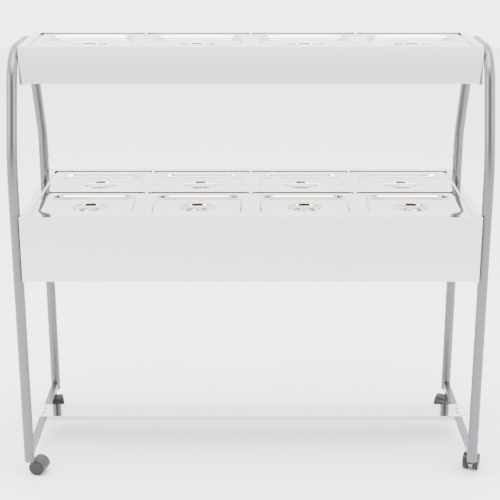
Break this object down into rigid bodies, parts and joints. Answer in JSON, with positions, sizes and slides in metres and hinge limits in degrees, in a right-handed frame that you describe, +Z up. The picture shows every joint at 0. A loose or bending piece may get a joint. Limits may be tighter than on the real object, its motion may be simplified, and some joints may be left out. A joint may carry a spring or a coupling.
{
  "type": "two-tier serving cart",
  "caption": "Two-tier stainless serving cart: wells of lidded gastronorm pans hung between bent-tube side frames, with a low shelf and twin-wheel casters.",
  "frame": {"origin": "on the floor, under the middle of the cart", "axes": "+Z up, +X along the cart, +Y from the front to the back"},
  "size_m": [1.4876, 0.606, 1.368],
  "materials": {
    "polished_stainless": "polished",
    "frame_tube": "satin",
    "zinc_steel": "satin",
    "caster_plastic": "satin",
    "wheel_tread": "matte"
  },
  "bodies": {
    "cart": {"caster_stems": "zinc_steel", "left_bottom_rail": "frame_tube", "left_rear_leg": "frame_tube", "left_side_hoop": "frame_tube", "lower_cross_dividers": "polished_stainless", "lower_left_end_cap": "polished_stainless", "lower_right_end_cap": "polished_stainless", "lower_row_divider": "polished_stainless", "lower_tray_wrap": "polished_stainless", "right_bottom_rail": "frame_tube", "right_rear_leg": "frame_tube", "right_side_hoop": "frame_tube", "splice_screws": "zinc_steel", "tray_bolts": "zinc_steel", "undershelf": "polished_stainless", "undershelf_screws": "zinc_steel", "upper_cross_dividers": "polished_stainless", "upper_left_end_cap": "polished_stainless", "upper_right_end_cap": "polished_stainless", "upper_tray_wrap": "polished_stainless"},
    "lower_front_pan_1": {"lower_front_pan_1": "polished_stainless"},
    "lower_front_lid_1": {"lower_front_lid_1": "polished_stainless"},
    "lower_front_pan_2": {"lower_front_pan_2": "polished_stainless"},
    "lower_front_lid_2": {"lower_front_lid_2": "polished_stainless"},
    "lower_front_pan_3": {"lower_front_pan_3": "polished_stainless"},
    "lower_front_lid_3": {"lower_front_lid_3": "polished_stainless"},
    "lower_front_pan_4": {"lower_front_pan_4": "polished_stainless"},
    "lower_front_lid_4": {"lower_front_lid_4": "polished_stainless"},
    "lower_rear_pan_1": {"lower_rear_pan_1": "polished_stainless"},
    "lower_rear_lid_1": {"lower_rear_lid_1": "polished_stainless"},
    "lower_rear_pan_2": {"lower_rear_pan_2": "polished_stainless"},
    "lower_rear_lid_2": {"lower_rear_lid_2": "polished_stainless"},
    "lower_rear_pan_3": {"lower_rear_pan_3": "polished_stainless"},
    "lower_rear_lid_3": {"lower_rear_lid_3": "polished_stainless"},
    "lower_rear_pan_4": {"lower_rear_pan_4": "polished_stainless"},
    "lower_rear_lid_4": {"lower_rear_lid_4": "polished_stainless"},
    "upper_pan_1": {"upper_pan_1": "polished_stainless"},
    "upper_lid_1": {"upper_lid_1": "polished_stainless"},
    "upper_pan_2": {"upper_pan_2": "polished_stainless"},
    "upper_lid_2": {"upper_lid_2": "polished_stainless"},
    "upper_pan_3": {"upper_pan_3": "polished_stainless"},
    "upper_lid_3": {"upper_lid_3": "polished_stainless"},
    "upper_pan_4": {"upper_pan_4": "polished_stainless"},
    "upper_lid_4": {"upper_lid_4": "polished_stainless"},
    "front_left_swivel": {"front_left_caster_hood": "caster_plastic"},
    "front_left_wheel_pair": {"front_left_wheels": "wheel_tread"},
    "front_right_swivel": {"front_right_caster_hood": "caster_plastic"},
    "front_right_wheel_pair": {"front_right_wheels": "wheel_tread"},
    "rear_left_swivel": {"rear_left_caster_hood": "caster_plastic"},
    "rear_left_wheel_pair": {"rear_left_wheels": "wheel_tread"},
    "rear_right_swivel": {"rear_right_caster_hood": "caster_plastic"},
    "rear_right_wheel_pair": {"rear_right_wheels": "wheel_tread"}
  },
  "joints": [
    {"name": "lower_front_pan_1_lift", "type": "slide", "parent": "cart", "child": "lower_front_pan_1", "axis": [0, 0, 1], "range_m": [0, 0.13]},
    {"name": "lower_front_lid_1_lift", "type": "slide", "parent": "lower_front_pan_1", "child": "lower_front_lid_1", "axis": [0, 0, 1], "range_m": [0, 0.1]},
    {"name": "lower_front_pan_2_lift", "type": "slide", "parent": "cart", "child": "lower_front_pan_2", "axis": [0, 0, 1], "range_m": [0, 0.13]},
    {"name": "lower_front_lid_2_lift", "type": "slide", "parent": "lower_front_pan_2", "child": "lower_front_lid_2", "axis": [0, 0, 1], "range_m": [0, 0.1]},
    {"name": "lower_front_pan_3_lift", "type": "slide", "parent": "cart", "child": "lower_front_pan_3", "axis": [0, 0, 1], "range_m": [0, 0.13]},
    {"name": "lower_front_lid_3_lift", "type": "slide", "parent": "lower_front_pan_3", "child": "lower_front_lid_3", "axis": [0, 0, 1], "range_m": [0, 0.1]},
    {"name": "lower_front_pan_4_lift", "type": "slide", "parent": "cart", "child": "lower_front_pan_4", "axis": [0, 0, 1], "range_m": [0, 0.13]},
    {"name": "lower_front_lid_4_lift", "type": "slide", "parent": "lower_front_pan_4", "child": "lower_front_lid_4", "axis": [0, 0, 1], "range_m": [0, 0.1]},
    {"name": "lower_rear_pan_1_lift", "type": "slide", "parent": "cart", "child": "lower_rear_pan_1", "axis": [0, 0, 1], "range_m": [0, 0.13]},
    {"name": "lower_rear_lid_1_lift", "type": "slide", "parent": "lower_rear_pan_1", "child": "lower_rear_lid_1", "axis": [0, 0, 1], "range_m": [0, 0.1]},
    {"name": "lower_rear_pan_2_lift", "type": "slide", "parent": "cart", "child": "lower_rear_pan_2", "axis": [0, 0, 1], "range_m": [0, 0.13]},
    {"name": "lower_rear_lid_2_lift", "type": "slide", "parent": "lower_rear_pan_2", "child": "lower_rear_lid_2", "axis": [0, 0, 1], "range_m": [0, 0.1]},
    {"name": "lower_rear_pan_3_lift", "type": "slide", "parent": "cart", "child": "lower_rear_pan_3", "axis": [0, 0, 1], "range_m": [0, 0.13]},
    {"name": "lower_rear_lid_3_lift", "type": "slide", "parent": "lower_rear_pan_3", "child": "lower_rear_lid_3", "axis": [0, 0, 1], "range_m": [0, 0.1]},
    {"name": "lower_rear_pan_4_lift", "type": "slide", "parent": "cart", "child": "lower_rear_pan_4", "axis": [0, 0, 1], "range_m": [0, 0.13]},
    {"name": "lower_rear_lid_4_lift", "type": "slide", "parent": "lower_rear_pan_4", "child": "lower_rear_lid_4", "axis": [0, 0, 1], "range_m": [0, 0.1]},
    {"name": "upper_pan_1_lift", "type": "slide", "parent": "cart", "child": "upper_pan_1", "axis": [0, 0, 1], "range_m": [0, 0.13]},
    {"name": "upper_lid_1_lift", "type": "slide", "parent": "upper_pan_1", "child": "upper_lid_1", "axis": [0, 0, 1], "range_m": [0, 0.1]},
    {"name": "upper_pan_2_lift", "type": "slide", "parent": "cart", "child": "upper_pan_2", "axis": [0, 0, 1], "range_m": [0, 0.13]},
    {"name": "upper_lid_2_lift", "type": "slide", "parent": "upper_pan_2", "child": "upper_lid_2", "axis": [0, 0, 1], "range_m": [0, 0.1]},
    {"name": "upper_pan_3_lift", "type": "slide", "parent": "cart", "child": "upper_pan_3", "axis": [0, 0, 1], "range_m": [0, 0.13]},
    {"name": "upper_lid_3_lift", "type": "slide", "parent": "upper_pan_3", "child": "upper_lid_3", "axis": [0, 0, 1], "range_m": [0, 0.1]},
    {"name": "upper_pan_4_lift", "type": "slide", "parent": "cart", "child": "upper_pan_4", "axis": [0, 0, 1], "range_m": [0, 0.13]},
    {"name": "upper_lid_4_lift", "type": "slide", "parent": "upper_pan_4", "child": "upper_lid_4", "axis": [0, 0, 1], "range_m": [0, 0.1]},
    {"name": "front_left_caster_swivel", "type": "hinge", "parent": "cart", "child": "front_left_swivel", "pos_m": [-0.711, -0.245, 0.05], "axis": [0, 0, 1], "continuous": true},
    {"name": "front_left_wheel_spin", "type": "hinge", "parent": "front_left_swivel", "child": "front_left_wheel_pair", "pos_m": [-0.68685, -0.25147, 0.025], "axis": [0.2588, 0.9659, 0], "continuous": true},
    {"name": "front_right_caster_swivel", "type": "hinge", "parent": "cart", "child": "front_right_swivel", "pos_m": [0.711, -0.245, 0.05], "axis": [0, 0, 1], "continuous": true},
    {"name": "front_right_wheel_spin", "type": "hinge", "parent": "front_right_swivel", "child": "front_right_wheel_pair", "pos_m": [0.71955, -0.22151, 0.025], "axis": [-0.9397, 0.342, 0], "continuous": true},
    {"name": "rear_left_caster_swivel", "type": "hinge", "parent": "cart", "child": "rear_left_swivel", "pos_m": [-0.711, 0.254, 0.05], "axis": [0, 0, 1], "continuous": true},
    {"name": "rear_left_wheel_spin", "type": "hinge", "parent": "rear_left_swivel", "child": "rear_left_wheel_pair", "pos_m": [-0.70327, 0.23022, 0.025], "axis": [0.9511, 0.309, 0], "continuous": true},
    {"name": "rear_right_caster_swivel", "type": "hinge", "parent": "cart", "child": "rear_right_swivel", "pos_m": [0.711, 0.254, 0.05], "axis": [0, 0, 1], "continuous": true},
    {"name": "rear_right_wheel_spin", "type": "hinge", "parent": "rear_right_swivel", "child": "rear_right_wheel_pair", "pos_m": [0.69666, 0.23352, 0.025], "axis": [0.8192, -0.5736, 0], "continuous": true}
  ]
}
